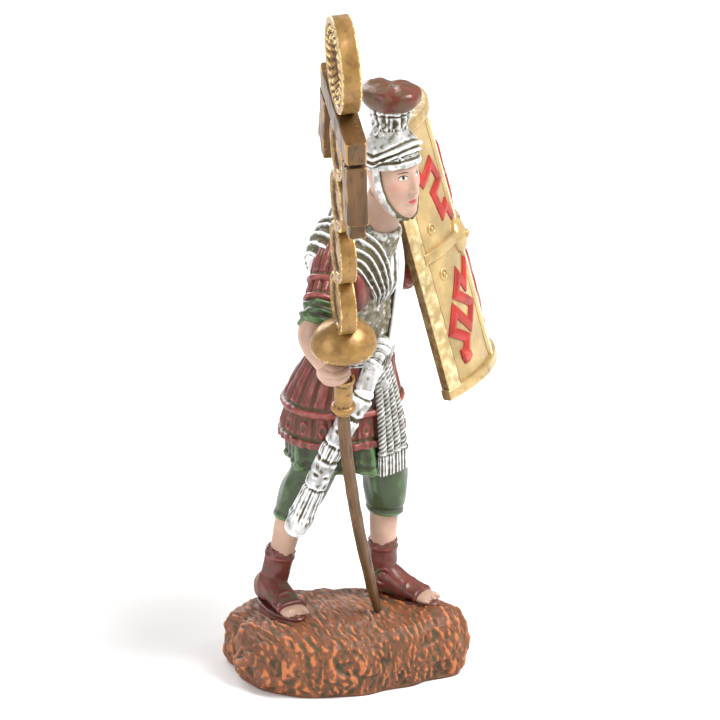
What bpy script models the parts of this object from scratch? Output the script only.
# Roman standard-bearer, a small painted crib figure on its own earth mound.
# The figure faces -Y and its right hand is at -X. The origin is on the flat
# underside of the mound, below the hips. Metres, +Z up.
import math

import bmesh
import bpy
from mathutils import Matrix, Vector

# Driving sizes in metres.
FIGURE_HEIGHT = 0.098
MOUND_LENGTH = 0.0512
MOUND_WIDTH = 0.0360
MOUND_HEIGHT = 0.0130
ROD_DIAMETER = 0.0024
ROD_TIP_DIAMETER = 0.0014
FIST_CLEARANCE = 0.0003
GROUND_CLEARANCE = 0.0003
TUBE_DIAMETER = 0.0037
COLLAR_DIAMETER = 0.0050
DOME_DIAMETER = 0.0134
DOME_HEIGHT = 0.0058
PLATE_DIAMETER = 0.0129
PLATE_THICKNESS = 0.0033
CROSSBAR_LENGTH = 0.0285
CROSSBAR_DEPTH = 0.0046
CROSSBAR_HEIGHT = 0.0050
PENDANT_LENGTH = 0.0130
PENDANT_WIDTH = 0.0050
WREATH_DIAMETER = 0.0198
WREATH_THICKNESS = 0.0040
SHIELD_HEIGHT = 0.0568
SHIELD_ARC = 0.0384
SHIELD_RADIUS = 0.0270
SHIELD_WALL = 0.0014
SHIELD_SIDE_RIM = 0.0034
SHIELD_END_RIM = 0.0022
SHIELD_RELIEF = 0.0005
BOSS_DIAMETER = 0.0075
BOSS_HEIGHT = 0.0019

# The figure's own proportions are given in shares of its height, one share
# being a ninety-eighth of it, measured up from the soles.
SHARE = FIGURE_HEIGHT / 98.0
PLATE_COUNT = 4
PLATE_OVERLAP = 0.0002
PLATE_IN_DOME = 0.0015
BOLT_WIDTH = 0.0022
STUD_DIAMETER = 0.0026
STUD_OUT = 0.0114
STUD_LEVELS = (0.0058, -0.0040)
PENDANT_SPLAY = math.radians(8.0)
PENDANT_DROP = 0.0012
PENDANT_FOOT_LENGTH = 0.0036

# Triangles left to each piece when its shells have been joined.
SOLDIER_TRIANGLES = 5900
STANDARD_TRIANGLES = 1700
SHIELD_TRIANGLES = 1250

for item in list(bpy.data.objects):
    bpy.data.objects.remove(item, do_unlink=True)


# Frames used by the figure, the standard and the shield.
def on_figure(x, y, z):
    return Vector((x * SHARE, y * SHARE, MOUND_HEIGHT + z * SHARE))


def basis(origin, x_axis, y_axis, z_axis):
    turned = Matrix((x_axis, y_axis, z_axis)).transposed().to_4x4()
    turned.translation = origin
    return turned


def smooth_step(value):
    value = min(1.0, max(0.0, value))
    return value * value * (3.0 - 2.0 * value)


# Shape makers. Each one leaves a closed mesh object and lists it for joining.
def new_object(name, mesh, shells, matrix=None):
    item = bpy.data.objects.new(name, mesh)
    bpy.context.scene.collection.objects.link(item)
    if matrix is not None:
        mesh.transform(matrix)
    shells.append(item)
    return item


def mesh_from_bmesh(name, built):
    bmesh.ops.recalc_face_normals(built, faces=built.faces[:])
    mesh = bpy.data.meshes.new(name)
    built.to_mesh(mesh)
    built.free()
    return mesh


def loft(name, rings, shells):
    built = bmesh.new()
    rows = [[built.verts.new(point) for point in ring] for ring in rings]
    count = len(rings[0])
    for low, high in zip(rows, rows[1:]):
        for index in range(count):
            after = (index + 1) % count
            built.faces.new((low[index], low[after], high[after], high[index]))
    for row, ring in ((rows[0], rings[0]), (rows[-1], rings[-1])):
        middle = built.verts.new(sum(ring, Vector()) / count)
        for index in range(count):
            built.faces.new((row[index], row[(index + 1) % count], middle))
    return new_object(name, mesh_from_bmesh(name, built), shells)


def upright_loft(name, sections, count, shells, edge=None):
    rings = []
    for step, (height, middle_x, middle_y, half_x, half_y) in enumerate(sections):
        ring = []
        for index in range(count):
            turn = 2.0 * math.pi * index / count
            swell = edge(turn, step, index) if edge else 1.0
            ring.append(on_figure(middle_x + half_x * swell * math.cos(turn),
                                  middle_y + half_y * swell * math.sin(turn), height))
        rings.append(ring)
    return loft(name, rings, shells)


def tube(name, points, radii, shells, resolution=2):
    curve = bpy.data.curves.new(name, "CURVE")
    curve.dimensions = "3D"
    curve.bevel_depth = SHARE
    curve.bevel_resolution = resolution
    curve.use_fill_caps = True
    curve.twist_mode = "MINIMUM"
    spline = curve.splines.new("POLY")
    spline.points.add(len(points) - 1)
    for place, point, radius in zip(spline.points, points, radii):
        place.co = (point.x, point.y, point.z, 1.0)
        place.radius = radius
    holder = bpy.data.objects.new(name, curve)
    bpy.context.scene.collection.objects.link(holder)
    evaluated = holder.evaluated_get(bpy.context.evaluated_depsgraph_get())
    mesh = bpy.data.meshes.new_from_object(evaluated)
    bpy.data.objects.remove(holder, do_unlink=True)
    built = bmesh.new()
    built.from_mesh(mesh)
    bpy.data.meshes.remove(mesh)
    bmesh.ops.remove_doubles(built, verts=built.verts[:], dist=0.00001)
    return new_object(name, mesh_from_bmesh(name, built), shells)


def ball(name, middle, radii, shells, segments=12, rings=8, turn=None):
    built = bmesh.new()
    bmesh.ops.create_uvsphere(built, u_segments=segments, v_segments=rings, radius=1.0)
    size = Matrix.Diagonal((radii[0], radii[1], radii[2], 1.0))
    matrix = Matrix.Translation(middle) @ (turn.to_4x4() if turn else Matrix()) @ size
    bmesh.ops.transform(built, matrix=matrix, verts=built.verts[:])
    return new_object(name, mesh_from_bmesh(name, built), shells)


def turned(name, profile, steps, matrix, shells):
    mesh = bpy.data.meshes.new(name)
    edges = [(index, index + 1) for index in range(len(profile) - 1)]
    mesh.from_pydata([(radius, 0.0, height) for radius, height in profile], edges, [])
    item = bpy.data.objects.new(name, mesh)
    bpy.context.scene.collection.objects.link(item)
    screw = item.modifiers.new("turn", "SCREW")
    screw.steps = steps
    screw.render_steps = steps
    screw.use_merge_vertices = True
    screw.merge_threshold = 0.00001
    evaluated = item.evaluated_get(bpy.context.evaluated_depsgraph_get())
    made = bpy.data.meshes.new_from_object(evaluated)
    bpy.data.objects.remove(item, do_unlink=True)
    built = bmesh.new()
    built.from_mesh(made)
    bpy.data.meshes.remove(made)
    return new_object(name, mesh_from_bmesh(name, built), shells, matrix)


def box(name, size, matrix, shells, taper=1.0):
    built = bmesh.new()
    bmesh.ops.create_cube(built, size=1.0)
    for vertex in built.verts:
        narrow = taper if vertex.co.z < 0.0 else 1.0
        vertex.co.x *= size[0] * narrow
        vertex.co.y *= size[1] * narrow
        vertex.co.z *= size[2]
    return new_object(name, mesh_from_bmesh(name, built), shells, matrix)


def evaluated_mesh(item):
    evaluated = item.evaluated_get(bpy.context.evaluated_depsgraph_get())
    mesh = bpy.data.meshes.new_from_object(evaluated)
    item.modifiers.clear()
    item.data = mesh
    return mesh


def is_closed(mesh):
    built = bmesh.new()
    built.from_mesh(mesh)
    closed = all(len(edge.link_faces) == 2 for edge in built.edges)
    built.free()
    return closed


def keep_outer_skin(built):
    seen = set()
    islands = []
    for vertex in built.verts:
        if vertex in seen:
            continue
        island = [vertex]
        seen.add(vertex)
        for reached in island:
            for edge in reached.link_edges:
                other = edge.other_vert(reached)
                if other not in seen:
                    seen.add(other)
                    island.append(other)
        islands.append(island)
    islands.sort(key=len)
    for island in islands[:-1]:
        bmesh.ops.delete(built, geom=island, context="VERTS")


def tidy_mesh(mesh):
    built = bmesh.new()
    built.from_mesh(mesh)
    keep_outer_skin(built)
    bmesh.ops.remove_doubles(built, verts=built.verts[:], dist=0.000003)
    bmesh.ops.dissolve_degenerate(built, edges=built.edges[:], dist=0.000003)
    bmesh.ops.triangulate(built, faces=built.faces[:])
    built.to_mesh(mesh)
    built.free()


def join_shells(name, shells, collection, color, roughness, metallic, budget, cutter=None,
                solver="EXACT"):
    group = bpy.data.collections.new(name + "_shells")
    bpy.context.scene.collection.children.link(group)
    body = shells[0]
    for shell in shells[1:]:
        group.objects.link(shell)
    union = body.modifiers.new("join", "BOOLEAN")
    union.operation = "UNION"
    union.solver = solver
    union.operand_type = "COLLECTION"
    union.collection = group
    joined = evaluated_mesh(body)
    for shell in shells[1:]:
        bpy.data.objects.remove(shell, do_unlink=True)
    bpy.data.collections.remove(group)
    item = body
    item.name = name
    bpy.context.scene.collection.objects.unlink(item)
    collection.objects.link(item)
    tidy_mesh(joined)
    whole = joined.copy()
    for spare in range(0, 1500, 60):
        item.data = whole.copy()
        thin_out = item.modifiers.new("thin_out", "DECIMATE")
        thin_out.ratio = min(1.0, (budget + spare) / len(whole.polygons))
        thin_out.use_collapse_triangulate = True
        joined = evaluated_mesh(item)
        for vertex in joined.vertices:
            if abs(vertex.co.z) < 0.0002:
                vertex.co.z = 0.0
        if not is_closed(joined):
            continue
        if cutter is not None:
            cut = item.modifiers.new("cut", "BOOLEAN")
            cut.operation = "DIFFERENCE"
            cut.object = cutter
            joined = evaluated_mesh(item)
            tidy_mesh(joined)
        if is_closed(joined):
            break
    joined.name = name
    joined.shade_smooth()
    joined.set_sharp_from_angle(angle=math.radians(35.0))
    joined.materials.clear()
    material = bpy.data.materials.new(name)
    material.use_nodes = True
    shader = material.node_tree.nodes["Principled BSDF"]
    shader.inputs["Base Color"].default_value = color
    shader.inputs["Roughness"].default_value = roughness
    shader.inputs["Metallic"].default_value = metallic
    joined.materials.append(material)
    return item


figurine = bpy.data.collections.new("roman_standard_bearer")
bpy.context.scene.collection.children.link(figurine)
cutters = bpy.data.collections.new("cutters")
bpy.context.scene.collection.children.link(cutters)

# Mound. Its long axis lies along the stride, turned sixty degrees from +X.
casting = []
STRIDE = Vector((0.5, -0.866, 0.0)).normalized()
ACROSS = Vector((-0.866, -0.5, 0.0)).normalized()
MOUND_MIDDLE = Vector((-3.9, -2.05, 0.0)) * SHARE
OUTLINE = (0.95, 0.76, 0.74, 0.88, 0.99, 0.94, 0.88, 1.08, 1.03, 0.97, 1.01, 1.06)


def outline_share(turn):
    place = (turn / (2.0 * math.pi) * len(OUTLINE)) % len(OUTLINE)
    index = int(place)
    after = (index + 1) % len(OUTLINE)
    blend = smooth_step(place - index)
    return OUTLINE[index] * (1.0 - blend) + OUTLINE[after] * blend


def mound_height(share_along, share_across, rise):
    slope = 1.0 - 0.10 * max(0.0, share_across) - 0.06 * max(0.0, -share_along)
    lumps = 0.03 * math.sin(7.0 * share_along + 2.0) * math.cos(6.0 * share_across)
    return MOUND_HEIGHT * (rise * slope + 0.05 + lumps * rise)


rings = []
MOUND_STEPS = ((0.0, 0.955), (0.10, 0.99), (0.33, 1.0), (0.60, 0.975), (0.82, 0.925),
               (0.94, 0.82), (0.99, 0.55), (1.0, 0.25))
for rise, reach in MOUND_STEPS:
    ring = []
    for index in range(32):
        turn = 2.0 * math.pi * index / 32
        bulge = outline_share(turn) * reach
        bulge *= 1.0 + 0.015 * math.sin(11.0 * turn + 9.0 * rise)
        along = math.cos(turn) * bulge
        across = math.sin(turn) * bulge
        height = mound_height(along, across, rise) if rise > 0.0 else 0.0
        ring.append(MOUND_MIDDLE + STRIDE * (along * MOUND_LENGTH / 2.0)
                    + ACROSS * (across * MOUND_WIDTH / 2.0) + Vector((0.0, 0.0, height)))
    rings.append(ring)
loft("mound", rings, casting)


# Feet in laced boots, toes bare, each on a thin sole.
def foot(name, heel, toe):
    heel = Vector(heel)
    ahead = Vector(toe) - heel
    length = ahead.length
    ahead.normalize()
    side = Vector((-ahead.y, ahead.x, 0.0))
    rings = []
    upper = ((0.02, 1.3, 3.0), (0.09, 2.5, 6.4), (0.24, 2.95, 8.2), (0.42, 2.8, 6.6),
             (0.60, 3.0, 4.6), (0.76, 3.25, 3.3), (0.79, 3.05, 2.6), (0.90, 2.9, 2.0),
             (0.985, 2.0, 1.5))
    for along, half, top in upper:
        ring = []
        for index in range(14):
            turn = 2.0 * math.pi * index / 14
            wide = half * math.copysign(abs(math.cos(turn)) ** 0.8, math.cos(turn))
            high = math.sin(turn)
            rise = 0.5 + (top - 0.5) * (0.5 + 0.5 * high)
            middle = heel + ahead * (along * length) + side * wide
            ring.append(on_figure(middle.x, middle.y, rise))
        rings.append(ring)
    loft(name + "_upper", rings, casting)
    rings = []
    for height in (-1.2, 0.9):
        ring = []
        for index in range(18):
            turn = 2.0 * math.pi * index / 18
            along = 0.5 - 0.52 * math.cos(turn)
            half = (2.5 + 1.0 * smooth_step(along * 1.3)) * math.sin(turn)
            middle = heel + ahead * (along * length) + side * half
            ring.append(on_figure(middle.x, middle.y, height))
        rings.append(ring)
    loft(name + "_sole", rings, casting)


foot("left_foot", (8.7, 0.2, 0.0), (8.7, -16.2, 0.0))
foot("right_foot", (-5.3, 17.0, 0.0), (-13.0, 3.2, 0.0))

LEFT_SHIN = ((8.7, -3.6, 1.5), (8.7, -3.5, 5.0), (8.5, -3.6, 9.0), (8.4, -3.8, 12.2))
RIGHT_SHIN = ((-7.2, 13.6, 1.5), (-6.9, 13.0, 5.0), (-6.9, 12.0, 9.0), (-6.8, 11.2, 12.2))
tube("left_boot", [on_figure(*p) for p in LEFT_SHIN], (2.7, 2.9, 2.9, 3.15), casting, 4)
tube("right_boot", [on_figure(*p) for p in RIGHT_SHIN], (2.7, 2.9, 2.9, 3.15), casting, 4)
tube("left_calf", [on_figure(8.4, -3.8, 11.0), on_figure(8.3, -3.9, 15.0),
                   on_figure(8.3, -4.1, 20.5)], (2.5, 2.75, 3.0), casting, 4)
tube("right_calf", [on_figure(-6.8, 11.3, 11.0), on_figure(-6.3, 10.5, 15.0),
                    on_figure(-5.6, 9.6, 20.5)], (2.5, 2.75, 3.0), casting, 4)

# Green breeches, gathered above the calf.
tube("left_breeches", [on_figure(8.2, -4.1, 18.6), on_figure(8.2, -4.3, 20.0),
                       on_figure(8.0, -4.6, 24.0), on_figure(7.6, -4.4, 29.0),
                       on_figure(6.4, -2.6, 38.0)],
     (3.35, 3.8, 4.5, 4.7, 5.2), casting, 4)
tube("right_breeches", [on_figure(-5.7, 9.7, 18.6), on_figure(-5.4, 9.4, 20.0),
                        on_figure(-4.6, 7.7, 24.0), on_figure(-3.9, 5.6, 29.0),
                        on_figure(-4.6, 2.4, 38.0)],
     (3.35, 3.8, 4.5, 4.7, 5.2), casting, 4)

# Green under-tunic with hanging folds.
def fold_edge(turn, step, index):
    depth = (0.0, 0.0, 0.02, 0.04, 0.045, 0.045)[step]
    return 1.0 + depth * math.cos(9.0 * turn + 0.8) + 0.5 * depth * math.sin(14.0 * turn)


upright_loft("tunic_hem", ((42.0, 0.0, 0.3, 9.0, 8.0), (41.0, 0.0, 0.2, 11.6, 10.6),
                           (38.0, 0.0, 0.2, 12.2, 11.3), (34.6, 0.0, -0.1, 12.6, 11.7),
                           (32.2, 0.0, -0.2, 12.6, 11.7), (33.0, 0.0, -0.2, 10.8, 10.0)),
             32, casting, fold_edge)


# Two tiers of red strips, each strip rounded and parted from the next.
def strip_edge(depths):
    def edge(turn, step, index):
        return 1.0 - depths[step] * (1.0 if index % 3 == 0 else 0.0)
    return edge


upright_loft("lower_strips", ((47.0, 0.0, 0.8, 11.6, 10.4), (45.0, 0.0, 0.9, 12.5, 11.4),
                              (39.4, 0.0, 1.0, 13.5, 12.4), (39.0, 0.0, 1.0, 13.9, 12.8),
                              (37.7, 0.0, 1.0, 13.8, 12.7), (37.8, 0.0, 1.0, 12.2, 11.2)),
             36, casting, strip_edge((0.0, 0.05, 0.05, 0.02, 0.02, 0.0)))
upright_loft("upper_strips", ((56.5, 0.0, -1.2, 8.6, 7.4), (54.5, 0.0, -0.8, 9.8, 8.4),
                              (50.6, 0.0, 0.2, 11.2, 9.8), (46.0, 0.0, 0.9, 12.7, 11.4),
                              (45.3, 0.0, 0.9, 13.3, 12.1), (43.9, 0.0, 0.9, 13.2, 12.0),
                              (44.2, 0.0, 0.9, 11.8, 10.8)),
             36, casting, strip_edge((0.0, 0.03, 0.05, 0.05, 0.02, 0.02, 0.0)))

# Cuirass, leaning forward from the belt, and the belt.
upright_loft("cuirass", ((54.0, 0.0, -1.0, 9.0, 7.6), (58.0, 0.0, -1.3, 9.2, 7.6),
                         (58.6, 0.0, -1.4, 9.6, 7.9), (62.0, 0.0, -1.8, 9.6, 7.5),
                         (66.0, 0.0, -2.4, 10.0, 7.2), (70.0, 0.0, -2.9, 10.3, 6.9),
                         (74.0, -0.5, -3.0, 9.8, 7.0), (78.0, -0.8, -3.2, 9.0, 7.0),
                         (81.5, -0.5, -3.8, 7.2, 6.3), (84.0, 0.0, -4.6, 5.2, 5.1),
                         (85.0, 0.0, -5.4, 3.4, 3.4)),
             24, casting)
upright_loft("belt", ((54.2, 0.0, -0.9, 9.0, 7.6), (54.4, 0.0, -0.9, 10.1, 8.7),
                      (56.6, 0.0, -1.1, 10.0, 8.5), (56.8, 0.0, -1.1, 9.0, 7.4)), 24, casting)


# Shoulder guards: five lapped bands each side, running from the breastbone
# round the neck to the back.
INNER_BAND = ((-0.4, -10.0, 67.0), (-0.7, -10.4, 74.0), (-2.6, -9.4, 79.8),
              (-4.6, -6.2, 83.4), (-4.4, -1.2, 84.6), (-3.2, 3.2, 82.6), (-1.2, 4.6, 76.4))
OUTER_BAND = ((-3.6, -9.3, 66.6), (-6.0, -8.9, 71.4), (-9.2, -7.4, 76.0),
              (-12.8, -4.2, 77.0), (-11.4, 1.2, 77.8), (-8.0, 4.0, 75.2), (-3.6, 4.9, 69.8))


def along_curve(points, share):
    place = share * (len(points) - 1)
    index = min(int(place), len(points) - 2)
    blend = place - index
    before = Vector(points[max(index - 1, 0)])
    start = Vector(points[index])
    end = Vector(points[index + 1])
    after = Vector(points[min(index + 2, len(points) - 1)])
    return 0.5 * ((2.0 * start) + (end - before) * blend
                  + (2.0 * before - 5.0 * start + 4.0 * end - after) * blend ** 2
                  + (3.0 * start - before - 3.0 * end + after) * blend ** 3)


def band_point(share_along, share_across, lift, side):
    inner = along_curve(INNER_BAND, share_along)
    outer = along_curve(OUTER_BAND, share_along)
    point = inner.lerp(outer, share_across)
    arch = 4.0 * share_across * (1.0 - share_across)
    outward = Vector((point.x * 0.8, (point.y + 4.0) * 0.9, max(1.0, point.z - 72.0)))
    outward.normalize()
    top = smooth_step(1.0 - abs(share_along - 0.5) * 2.4)
    sunk = 1.0 - smooth_step(min(share_along, 1.0 - share_along) * 10.0)
    point += outward * (lift + arch * (0.5 + 1.2 * top) - 2.0 * sunk)
    set_back = 2.5 * smooth_step(abs(point.x) / 6.0) if side > 0.0 else 0.0
    return on_figure(side * -point.x, point.y + set_back, point.z)


BANDS = 5
for side_name, side in (("right", -1.0), ("left", 1.0)):
    rings = []
    for step in range(11):
        share = step / 10.0
        ring = []
        for band in range(BANDS):
            ring.append(band_point(share, band / BANDS, 0.35, side))
            ring.append(band_point(share, (band + 0.82) / BANDS, 1.15, side))
        ring.append(band_point(share, 1.0, 0.2, side))
        ring.append(band_point(share, 1.0, -1.5, side))
        ring.append(band_point(share, 0.5, -1.6, side))
        ring.append(band_point(share, 0.0, -1.5, side))
        rings.append(ring)
    loft(side_name + "_shoulder_guard", rings, casting)

# Raised front strap and the sash knot with its four hanging cords.
tube("front_strap", [on_figure(3.4, -9.6, 79.6), on_figure(4.0, -9.9, 74.0),
                     on_figure(3.4, -9.7, 68.0), on_figure(2.2, -9.5, 62.0),
                     on_figure(0.8, -9.4, 57.4)], (0.85, 0.95, 0.95, 0.9, 0.85), casting)
ball("sash_knot", on_figure(-1.9, -9.5, 57.0), (2.0 * SHARE, 1.9 * SHARE, 3.2 * SHARE),
     casting, 12, 8)
CORD_TOPS = ((-3.7, -9.1), (-2.7, -9.4), (-1.6, -9.6), (-0.5, -9.6))
CORD_WAISTS = ((-4.6, -10.5), (-3.1, -11.0), (-1.4, -11.3), (0.4, -11.3))
CORD_ENDS = ((-5.4, -11.6), (-3.6, -12.2), (-1.6, -12.6), (0.5, -12.7))
for index, (start, waist, end) in enumerate(zip(CORD_TOPS, CORD_WAISTS, CORD_ENDS)):
    tube("sash_cord_%d" % (index + 1),
         [on_figure(*start, 55.0), on_figure(*waist, 47.0), on_figure(*end, 39.0),
          on_figure(*end, 32.0)], (0.66, 0.76, 0.82, 0.9), casting)

# Red cloth of the right side seen below the shoulder guard.
ball("side_cloth", on_figure(-7.6, -6.3, 71.6), (3.4 * SHARE, 3.2 * SHARE, 5.2 * SHARE),
     casting, 12, 8)

# Neck and head. The head is turned a little to the right.
HEAD_TURN = Matrix.Rotation(math.radians(-12.0), 3, "Z")
HEAD_MIDDLE = Vector((0.0, -10.7, 95.0))


def on_head(x, y, z):
    turned_point = HEAD_TURN @ Vector((x, y, 0.0))
    return on_figure(HEAD_MIDDLE.x + turned_point.x, HEAD_MIDDLE.y + turned_point.y,
                     HEAD_MIDDLE.z + z)


tube("neck", [on_figure(0.0, -6.4, 79.0), on_figure(0.0, -8.0, 84.5),
              on_figure(0.0, -9.6, 90.0)], (4.2, 3.7, 3.8), casting, 4)
rings = []
HEAD_STEPS = ((-9.3, -2.9, 1.3, 1.2), (-8.7, -2.6, 2.4, 2.4), (-7.4, -1.8, 3.4, 3.6),
              (-5.6, -0.9, 4.2, 4.6), (-3.4, -0.4, 4.7, 5.2), (-1.0, -0.1, 5.0, 5.4),
              (1.6, 0.0, 5.15, 5.5), (4.2, 0.2, 5.0, 5.4), (6.4, 0.3, 4.0, 4.4))
for height, middle, half_x, half_y in HEAD_STEPS:
    ring = []
    for index in range(20):
        turn = 2.0 * math.pi * index / 20
        ring.append(on_head(half_x * math.cos(turn), middle + half_y * math.sin(turn), height))
    rings.append(ring)
loft("head", rings, casting)
loft("nose", [[on_head(-0.35, -5.2, 1.4), on_head(0.35, -5.2, 1.4), on_head(0.35, -4.4, 1.4),
               on_head(-0.35, -4.4, 1.4)],
              [on_head(-0.7, -6.1, -1.9), on_head(0.7, -6.1, -1.9), on_head(0.9, -4.4, -1.9),
               on_head(-0.9, -4.4, -1.9)],
              [on_head(-0.7, -5.5, -2.5), on_head(0.7, -5.5, -2.5), on_head(0.8, -4.4, -2.5),
               on_head(-0.8, -4.4, -2.5)]], casting)

# Helmet bowl with rim and brow guard, cheek guards, crest holder and crest.
rings = []
BOWL_STEPS = ((1.4, 5.2, 5.4), (1.2, 5.7, 6.0), (2.2, 5.85, 6.15), (2.7, 5.4, 5.7),
              (4.0, 5.5, 5.8), (4.3, 5.8, 6.1), (5.1, 5.6, 5.9), (6.4, 4.8, 5.1),
              (7.9, 3.6, 3.8), (8.9, 2.0, 2.1))
for height, half_x, half_y in BOWL_STEPS:
    ring = []
    for index in range(22):
        turn = 2.0 * math.pi * index / 22
        front = max(0.0, -math.sin(turn))
        low = 1.0 if height < 3.0 else 0.0
        ring.append(on_head(half_x * math.cos(turn), 0.1 + half_y * math.sin(turn),
                            height + 0.6 * front * low + 0.5 * front))
    rings.append(ring)
loft("helmet_bowl", rings, casting)
for side in (-1.0, 1.0):
    tube("cheek_guard_left" if side > 0.0 else "cheek_guard_right",
         [on_head(side * 5.0, -0.4, 2.0), on_head(side * 4.9, -0.9, -2.0),
          on_head(side * 4.1, -2.2, -5.6), on_head(side * 2.2, -4.0, -8.2),
          on_head(side * 0.4, -4.6, -8.9)], (1.1, 1.1, 1.0, 0.85, 0.6), casting)
rings = []
HOLDER_STEPS = ((7.6, 3.9, 3.9), (8.6, 3.9, 4.1), (9.0, 3.4, 3.6), (10.8, 3.3, 3.5),
                (12.0, 3.7, 3.9), (13.8, 3.5, 3.7))
for height, half_x, half_y in HOLDER_STEPS:
    rings.append([on_head(half_x * math.cos(math.pi * index / 8.0),
                          0.6 + half_y * math.sin(math.pi * index / 8.0), height)
                  for index in range(16)])
loft("crest_holder", rings, casting)
rings = []
CREST_STEPS = ((13.0, 3.6, 4.0), (13.9, 4.9, 6.0), (15.0, 5.6, 7.0), (16.6, 5.7, 7.2),
               (17.7, 5.3, 6.7), (18.4, 3.6, 4.8))
for height, half_x, half_y in CREST_STEPS:
    ring = []
    for index in range(24):
        turn = 2.0 * math.pi * index / 24
        dip = 1.0 - 0.10 * math.cos(2.0 * turn) ** 8 * (1.0 if height > 13.0 else 0.0)
        rise = height - (0.9 * abs(math.cos(turn)) ** 6 if height > 16.0 else 0.0)
        ring.append(on_head(half_x * dip * math.cos(turn), 0.6 + half_y * dip * math.sin(turn),
                            rise))
    rings.append(ring)
loft("crest", rings, casting)

# Right arm: two tiers of red strips, a green sleeve, the bare forearm and fist.
RIGHT_SHOULDER = Vector((-10.0, -3.0, 78.4))
RIGHT_ELBOW = Vector((-19.3, -4.7, 67.4))


def on_arm(share):
    point = RIGHT_SHOULDER.lerp(RIGHT_ELBOW, share)
    return on_figure(point.x, point.y, point.z)


tube("right_sleeve_top", [on_arm(-0.2), on_arm(0.05), on_arm(0.36), on_arm(0.40), on_arm(0.46)],
     (2.4, 3.7, 3.7, 4.0, 3.5), casting, 4)
tube("right_sleeve_strips", [on_arm(0.3), on_arm(0.42), on_arm(0.70), on_arm(0.74)],
     (3.0, 3.5, 4.0, 3.3), casting, 4)
tube("right_sleeve_green", [on_arm(0.6), on_arm(0.74), on_arm(0.9), on_arm(1.04), on_arm(1.06)],
     (2.8, 3.6, 4.1, 4.3, 3.2), casting, 4)
HAND = Vector((-21.25, -11.7, 58.8))
FIST = Vector((-22.3, -10.0, 58.9))
tube("right_forearm", [on_arm(0.8), on_figure(-20.2, -4.6, 65.2), on_figure(-21.3, -7.0, 62.2),
                       on_figure(FIST.x, FIST.y + 0.6, FIST.z + 1.0)],
     (3.2, 3.6, 3.3, 2.7), casting, 4)
ball("right_fist", on_figure(FIST.x, FIST.y, FIST.z),
     (3.3 * SHARE, 3.5 * SHARE, 2.7 * SHARE), casting, 14, 9)

# Left arm under its dark red sleeve, reaching forward to the shield.
tube("left_sleeve", [on_figure(8.6, -2.4, 79.0), on_figure(11.2, -3.2, 76.6),
                     on_figure(12.8, -4.6, 71.6), on_figure(13.4, -5.4, 67.8),
                     on_figure(15.4, -5.4, 67.8)],
     (3.6, 4.2, 3.8, 3.5, 2.8), casting, 4)
LEFT_FIST = Vector((24.27, -7.04, 72.29))
LEFT_FIST_REACH = 2.66
tube("left_forearm", [on_figure(13.4, -5.3, 68.4), on_figure(17.4, -5.6, 69.4),
                      on_figure(22.6, -6.7, 71.7)], (2.9, 2.6, 2.1), casting, 4)
ball("left_fist", on_figure(LEFT_FIST.x, LEFT_FIST.y, LEFT_FIST.z),
     (2.8 * SHARE, 2.6 * SHARE, 3.0 * SHARE), casting, 12, 8)

# Sword in its sheath at the right hip, hilt forward.
SHEATH = ((-9.4, -11.4, 55.6), (-10.7, -10.4, 51.4), (-11.0, -10.2, 50.6), (-12.1, -8.4, 46.6),
          (-13.6, -5.6, 40.6), (-14.4, -3.4, 35.6), (-15.0, -0.6, 28.8), (-15.2, 1.4, 24.2),
          (-15.3, 2.8, 21.0), (-15.3, 3.3, 19.8))
tube("sword_hilt", [on_figure(-4.6, -11.6, 60.4), on_figure(-6.0, -11.8, 58.8),
                    on_figure(-6.4, -11.8, 58.4), on_figure(-8.0, -11.7, 56.8),
                    on_figure(-8.4, -11.6, 56.4), on_figure(-9.6, -11.2, 55.0)],
     (1.7, 1.7, 1.1, 1.1, 2.0, 2.0), casting, 3)
tube("sheath", [on_figure(*p) for p in SHEATH],
     (1.9, 1.9, 2.4, 2.0, 2.0, 2.0, 2.0, 2.3, 2.2, 1.3), casting, 3)
for index, share in enumerate((0.40, 0.66)):
    middle = along_curve(SHEATH, share)
    after = along_curve(SHEATH, share + 0.08)
    tube("sheath_band_%d" % (index + 1), [on_figure(*middle), on_figure(*after)],
         (2.45, 2.45), casting, 3)

# Standard, built about its own rod and leaning toward the figure's right.
STANDARD_UP = Vector((-0.2532, -0.1462, 0.9563)).normalized()
BAR_ALONG = Vector((-0.7232, -0.6280, -0.2875)).normalized()
BAR_ALONG = (BAR_ALONG - STANDARD_UP * BAR_ALONG.dot(STANDARD_UP)).normalized()
PLATE_FACING = STANDARD_UP.cross(BAR_ALONG).normalized()
GRIP = on_figure(HAND.x, HAND.y, HAND.z)
standing = []


def on_standard(along_bar, along_facing, up):
    return GRIP + BAR_ALONG * along_bar + PLATE_FACING * along_facing + STANDARD_UP * up


def standard_frame(up, along_bar=0.0):
    return basis(on_standard(along_bar, 0.0, up), BAR_ALONG, PLATE_FACING, STANDARD_UP)


def facing_frame(up):
    return basis(on_standard(0.0, 0.0, up), BAR_ALONG, -STANDARD_UP, PLATE_FACING)


TUBE_TOP = -1.4 * SHARE
TUBE_FOOT = -9.2 * SHARE
DOME_RIM = 6.8 * SHARE
DOME_FACE = 0.0009
FIRST_PLATE = DOME_RIM + DOME_HEIGHT + PLATE_DIAMETER / 2.0 - PLATE_IN_DOME
PLATE_PITCH = PLATE_DIAMETER - PLATE_OVERLAP
LAST_PLATE = FIRST_PLATE + PLATE_PITCH * (PLATE_COUNT - 1)
BAR_MIDDLE = LAST_PLATE + PLATE_DIAMETER / 2.0 - PLATE_OVERLAP + CROSSBAR_HEIGHT / 2.0
WREATH_MIDDLE = BAR_MIDDLE + CROSSBAR_HEIGHT / 2.0 - PLATE_OVERLAP * 2.0 + WREATH_DIAMETER / 2.0

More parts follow.
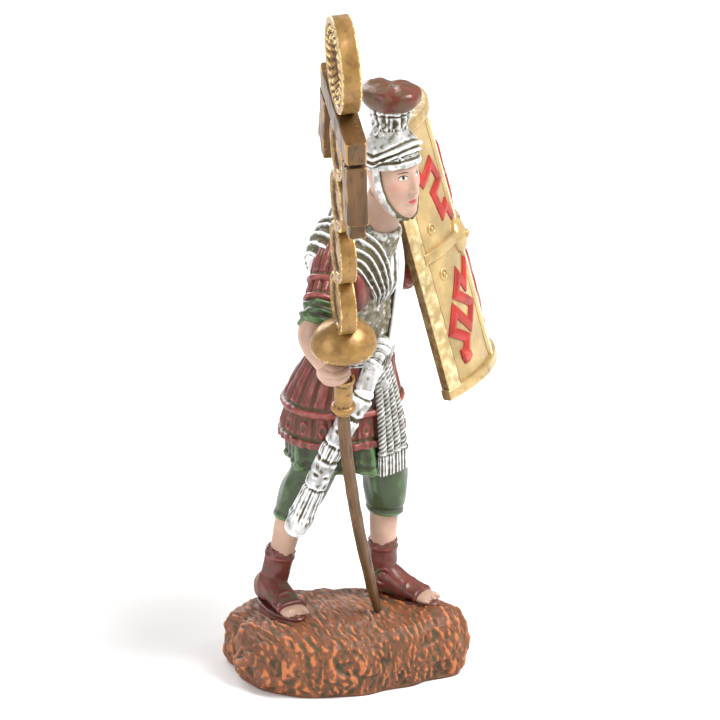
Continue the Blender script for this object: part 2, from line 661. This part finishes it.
# Rod, bowed below the hand, standing on the mound with its point.
ROD_FOOT = Vector((-2.0 * SHARE, -8.5 * SHARE, MOUND_HEIGHT * 1.05 + GROUND_CLEARANCE))
straight_foot = GRIP - STANDARD_UP * ((GRIP.z - ROD_FOOT.z) / STANDARD_UP.z)
bow = ROD_FOOT - straight_foot
ROD_START = 11.0 * SHARE
foot_reach = (GRIP - straight_foot).length
points = [on_standard(0.0, 0.0, WREATH_MIDDLE), on_standard(0.0, 0.0, 0.0),
          on_standard(0.0, 0.0, -ROD_START)]
radii = [ROD_DIAMETER / 2.0, ROD_DIAMETER / 2.0, ROD_DIAMETER / 2.0]
for step in range(1, 9):
    share = step / 8.0
    down = ROD_START + (foot_reach - ROD_START) * share
    points.append(on_standard(0.0, 0.0, -down) + bow * share ** 1.45)
    thin = smooth_step((share - 0.8) / 0.2)
    radii.append(ROD_DIAMETER / 2.0 * (1.0 - 0.12 * share) * (1.0 - thin)
                 + ROD_TIP_DIAMETER / 2.0 * thin)
tube("rod", points, [radius / SHARE for radius in radii], standing, 2)

turned("collar_tube",
       [(ROD_DIAMETER * 0.2, TUBE_TOP), (TUBE_DIAMETER * 0.62, TUBE_TOP),
        (TUBE_DIAMETER * 0.62, TUBE_TOP - 0.0009), (TUBE_DIAMETER / 2.0, TUBE_TOP - 0.0013),
        (TUBE_DIAMETER / 2.0, TUBE_FOOT + 0.0014), (COLLAR_DIAMETER / 2.0, TUBE_FOOT + 0.0008),
        (COLLAR_DIAMETER / 2.0, TUBE_FOOT - 0.0002), (COLLAR_DIAMETER * 0.3, TUBE_FOOT - 0.0012),
        (ROD_DIAMETER * 0.2, TUBE_FOOT - 0.0012), (ROD_DIAMETER * 0.2, TUBE_TOP)],
       14, standard_frame(0.0), standing)
dome = [(0.0, DOME_HEIGHT)]
for step in range(1, 5):
    turn = math.radians(22.5 * step)
    dome.append((DOME_DIAMETER / 2.0 * math.sin(turn), DOME_HEIGHT * math.cos(turn)))
dome += [(DOME_DIAMETER * 0.46, -DOME_FACE * 0.7), (DOME_DIAMETER * 0.3, -DOME_FACE),
         (0.0, -DOME_FACE)]
turned("dome", dome, 20, standard_frame(DOME_RIM), standing)

half = PLATE_THICKNESS / 2.0
for index in range(PLATE_COUNT):
    radius = PLATE_DIAMETER / 2.0
    turned("plate_%d" % (index + 1),
           [(0.0, half * 0.75), (radius * 0.34, half * 0.6), (radius * 0.66, half * 0.6),
            (radius * 0.76, half), (radius * 0.88, half),
            (radius, half * 0.6), (radius, -half * 0.6), (radius * 0.88, -half),
            (radius * 0.76, -half), (radius * 0.66, -half * 0.6),
            (radius * 0.34, -half * 0.6), (0.0, -half * 0.75)],
           16, facing_frame(FIRST_PLATE + PLATE_PITCH * index), standing)

box("crossbar", (CROSSBAR_LENGTH, CROSSBAR_DEPTH, CROSSBAR_HEIGHT),
    standard_frame(BAR_MIDDLE), standing)
half_wreath = WREATH_THICKNESS / 2.0
radius = WREATH_DIAMETER / 2.0
turned("wreath",
       [(0.0, half_wreath * 0.4), (radius * 0.46, half_wreath * 0.4),
        (radius * 0.58, half_wreath), (radius * 0.86, half_wreath),
        (radius, half_wreath * 0.35), (radius, -half_wreath * 0.35),
        (radius * 0.86, -half_wreath), (radius * 0.58, -half_wreath),
        (radius * 0.46, -half_wreath * 0.4), (0.0, -half_wreath * 0.4)],
       22, facing_frame(WREATH_MIDDLE), standing)

# Hanging pieces at both ends of the crossbar, splayed outward at the foot.
for side_name, side in (("near", 1.0), ("far", -1.0)):
    reach = CROSSBAR_LENGTH / 2.0 - PENDANT_WIDTH / 2.0
    frame = standard_frame(BAR_MIDDLE - CROSSBAR_HEIGHT / 2.0, side * reach)
    frame = frame @ Matrix.Rotation(-PENDANT_SPLAY * side, 4, "Y")
    box(side_name + "_pendant_neck", (PENDANT_WIDTH * 0.5, CROSSBAR_DEPTH * 0.7, PENDANT_DROP * 3.3),
        frame @ Matrix.Translation((0.0, 0.0, -PENDANT_DROP / 2.0)), standing)
    box(side_name + "_pendant", (PENDANT_WIDTH, CROSSBAR_DEPTH * 0.96, PENDANT_LENGTH),
        frame @ Matrix.Translation((0.0, 0.0, -PENDANT_DROP - PENDANT_LENGTH / 2.0)), standing)
    foot_middle = -PENDANT_DROP - PENDANT_LENGTH - PENDANT_FOOT_LENGTH * 0.39
    box(side_name + "_pendant_foot",
        (PENDANT_WIDTH * 0.62, CROSSBAR_DEPTH * 0.62, PENDANT_FOOT_LENGTH),
        frame @ Matrix.Translation((0.0, 0.0, foot_middle)), standing, 1.25)

standard = join_shells("standard", standing, figurine, (0.45, 0.30, 0.12, 1.0), 0.42, 0.6,
                       STANDARD_TRIANGLES)

# The fist is hollowed to fit round the rod, the upper collar and the dome.
fit = []
room = ROD_DIAMETER / 2.0 + FIST_CLEARANCE
collar_room = TUBE_DIAMETER * 0.62 + FIST_CLEARANCE
dome_room = DOME_DIAMETER / 2.0 + FIST_CLEARANCE
dome_low = DOME_RIM - DOME_FACE - FIST_CLEARANCE
turned("fist_fit", [(0.0, DOME_RIM + DOME_HEIGHT), (dome_room, DOME_RIM + DOME_HEIGHT),
                    (dome_room, dome_low), (room, dome_low), (room, TUBE_TOP + FIST_CLEARANCE),
                    (collar_room, TUBE_TOP + FIST_CLEARANCE), (collar_room, TUBE_FOOT),
                    (0.0, TUBE_FOOT)], 20, standard_frame(0.0), fit)
fist_fit = fit[0]
bpy.context.scene.collection.objects.unlink(fist_fit)
cutters.objects.link(fist_fit)
fist_fit.hide_render = True
fist_fit.display_type = "WIRE"
soldier = join_shells("soldier", casting, figurine, (0.35, 0.22, 0.16, 1.0), 0.55, 0.0,
                      SOLDIER_TRIANGLES, fist_fit, "MANIFOLD")

# Shield: a curved wall with rims, a centre rib, a strap bar, a boss and bolts.
SHIELD_LEAN = math.radians(14.7)
LEVEL_NORMAL = Vector((0.375, -0.927, 0.0)).normalized()
SHIELD_SIDE = Vector((0.927, 0.375, 0.0)).normalized()
SHIELD_UP = (Vector((0.0, 0.0, 1.0)) * math.cos(SHIELD_LEAN)
             - LEVEL_NORMAL * math.sin(SHIELD_LEAN))
SHIELD_NORMAL = (LEVEL_NORMAL * math.cos(SHIELD_LEAN)
                 + Vector((0.0, 0.0, 1.0)) * math.sin(SHIELD_LEAN))
FIST_TO_FACE = LEFT_FIST_REACH * SHARE + FIST_CLEARANCE + SHIELD_WALL
SHIELD_MIDDLE = (on_figure(LEFT_FIST.x, LEFT_FIST.y, LEFT_FIST.z)
                 + SHIELD_NORMAL * FIST_TO_FACE)
HALF_ARC = SHIELD_ARC / 2.0
HALF_HEIGHT = SHIELD_HEIGHT / 2.0
shell_parts = []


def on_shield(arc, up, lift):
    turn = arc / SHIELD_RADIUS
    reach = SHIELD_RADIUS + lift
    return (SHIELD_MIDDLE + SHIELD_UP * up + SHIELD_SIDE * (reach * math.sin(turn))
            + SHIELD_NORMAL * (reach * math.cos(turn) - SHIELD_RADIUS))


def curved_slab(name, arc_low, arc_high, up_low, up_high, lift_low, lift_high, steps):
    rings = []
    for step in range(steps + 1):
        arc = arc_low + (arc_high - arc_low) * step / steps
        rings.append([on_shield(arc, up_low, lift_low), on_shield(arc, up_low, lift_high),
                      on_shield(arc, up_high, lift_high), on_shield(arc, up_high, lift_low)])
    return loft(name, rings, shell_parts)


RIM_LIFT = SHIELD_RELIEF * 1.4
RIB_WIDTH = 0.0009
SUNK = 0.0004
curved_slab("wall", -HALF_ARC + 0.0002, HALF_ARC - 0.0002, -HALF_HEIGHT + 0.0002,
            HALF_HEIGHT - 0.0002, -SHIELD_WALL, 0.0, 12)
for side in (-1.0, 1.0):
    inside = side * (HALF_ARC - SHIELD_SIDE_RIM)
    curved_slab("side_rim", min(inside, side * HALF_ARC), max(inside, side * HALF_ARC),
                -HALF_HEIGHT + 0.0001, HALF_HEIGHT - 0.0001, -SHIELD_WALL - 0.0001,
                RIM_LIFT, 2)
    level = side * (HALF_HEIGHT - SHIELD_END_RIM)
    curved_slab("end_rim", -HALF_ARC - 0.0003, HALF_ARC + 0.0003,
                min(level, side * HALF_HEIGHT), max(level, side * HALF_HEIGHT),
                -SHIELD_WALL - 0.0002, RIM_LIFT * 1.3, 12)
    rib_start = BOSS_DIAMETER * 0.4
    rib_end = HALF_HEIGHT - SHIELD_END_RIM * 0.9
    curved_slab("centre_rib", -RIB_WIDTH / 2.0, RIB_WIDTH / 2.0,
                min(side * rib_start, side * rib_end), max(side * rib_start, side * rib_end),
                -SUNK, SHIELD_RELIEF * 1.3, 1)
curved_slab("strap_bar", -HALF_ARC + SHIELD_SIDE_RIM * 0.8, HALF_ARC - SHIELD_SIDE_RIM * 0.8,
            -0.0002, 0.0020, -SUNK, SHIELD_RELIEF * 1.8, 10)
boss_frame = basis(on_shield(0.0, 0.0, 0.0), SHIELD_SIDE, SHIELD_UP, SHIELD_NORMAL)
boss = [(0.0, BOSS_HEIGHT * 1.36), (0.0008, BOSS_HEIGHT * 1.30), (0.0010, BOSS_HEIGHT * 1.1)]
for step in range(1, 6):
    turn = math.radians(14.0 + 15.2 * step)
    boss.append((BOSS_DIAMETER / 2.0 * math.sin(turn), BOSS_HEIGHT * math.cos(turn)))
boss += [(BOSS_DIAMETER / 2.0, -0.0007), (0.0, -0.0007)]
turned("boss", boss, 16, boss_frame, shell_parts)
for side in (-1.0, 1.0):
    for up in STUD_LEVELS:
        turn = side * STUD_OUT / SHIELD_RADIUS
        outward = SHIELD_SIDE * math.sin(turn) + SHIELD_NORMAL * math.cos(turn)
        frame = basis(on_shield(side * STUD_OUT, up, 0.0), SHIELD_UP.cross(outward),
                      SHIELD_UP, outward)
        turned("stud", [(0.0, SHIELD_RELIEF * 0.9), (STUD_DIAMETER * 0.42, SHIELD_RELIEF * 0.9),
                        (STUD_DIAMETER / 2.0, -SUNK), (0.0, -SUNK)], 10, frame, shell_parts)


# Bolts: zigzag strips above and below the boss, mirrored on the other half.
LOWER_BOLT = ((-0.6, -4.8), (-4.6, -9.0), (-6.6, -6.2), (-9.2, -9.5), (-3.4, -13.5),
              (-7.1, -16.9), (-11.2, -12.2), (-13.6, -15.9), (-9.3, -18.8), (-11.0, -21.4))
UPPER_BOLT = ((-0.6, 4.4), (-2.9, 7.9), (-5.8, 6.9), (-7.3, 11.9), (-2.8, 13.4),
              (-5.2, 17.8), (-10.2, 15.4), (-12.6, 19.4), (-10.2, 21.4), (-11.6, 23.2))
HEAD_HALF_WIDTH = 0.0019
HEAD_LENGTH = 0.0024


def bolt_strip(name, places, side):
    flat = [Vector((side * -arc, up)) * 0.001 for arc, up in places]
    left = []
    right = []
    for index, place in enumerate(flat):
        ways = []
        if index > 0:
            ways.append((place - flat[index - 1]).normalized())
        if index < len(flat) - 1:
            ways.append((flat[index + 1] - place).normalized())
        way = sum(ways, Vector((0.0, 0.0))).normalized()
        across = Vector((-way.y, way.x))
        widen = 1.0 / max(0.55, abs(ways[0].dot(way)))
        left.append(place + across * (BOLT_WIDTH / 2.0 * widen))
        right.append(place - across * (BOLT_WIDTH / 2.0 * widen))
    rings = []
    for one, other in zip(left, right):
        rings.append([on_shield(one.x, one.y, -SUNK), on_shield(other.x, other.y, -SUNK),
                      on_shield(other.x, other.y, SHIELD_RELIEF),
                      on_shield(one.x, one.y, SHIELD_RELIEF)])
    loft(name, rings, shell_parts)
    tip = flat[-1]
    way = (flat[-1] - flat[-2]).normalized()
    across = Vector((-way.y, way.x))
    head = [tip + across * HEAD_HALF_WIDTH, tip + way * HEAD_LENGTH,
            tip - across * HEAD_HALF_WIDTH, tip - way * HEAD_LENGTH * 0.25]
    loft(name + "_head",
         [[on_shield(point.x, point.y, -SUNK) for point in head],
          [on_shield(point.x, point.y, SHIELD_RELIEF * 1.1) for point in head]], shell_parts)


for side in (-1.0, 1.0):
    side_name = "near" if side < 0.0 else "far"
    bolt_strip(side_name + "_lower_bolt", LOWER_BOLT, -side)
    bolt_strip(side_name + "_upper_bolt", UPPER_BOLT, -side)

shield = join_shells("shield", shell_parts, figurine, (0.60, 0.46, 0.24, 1.0), 0.40, 0.6,
                     SHIELD_TRIANGLES)
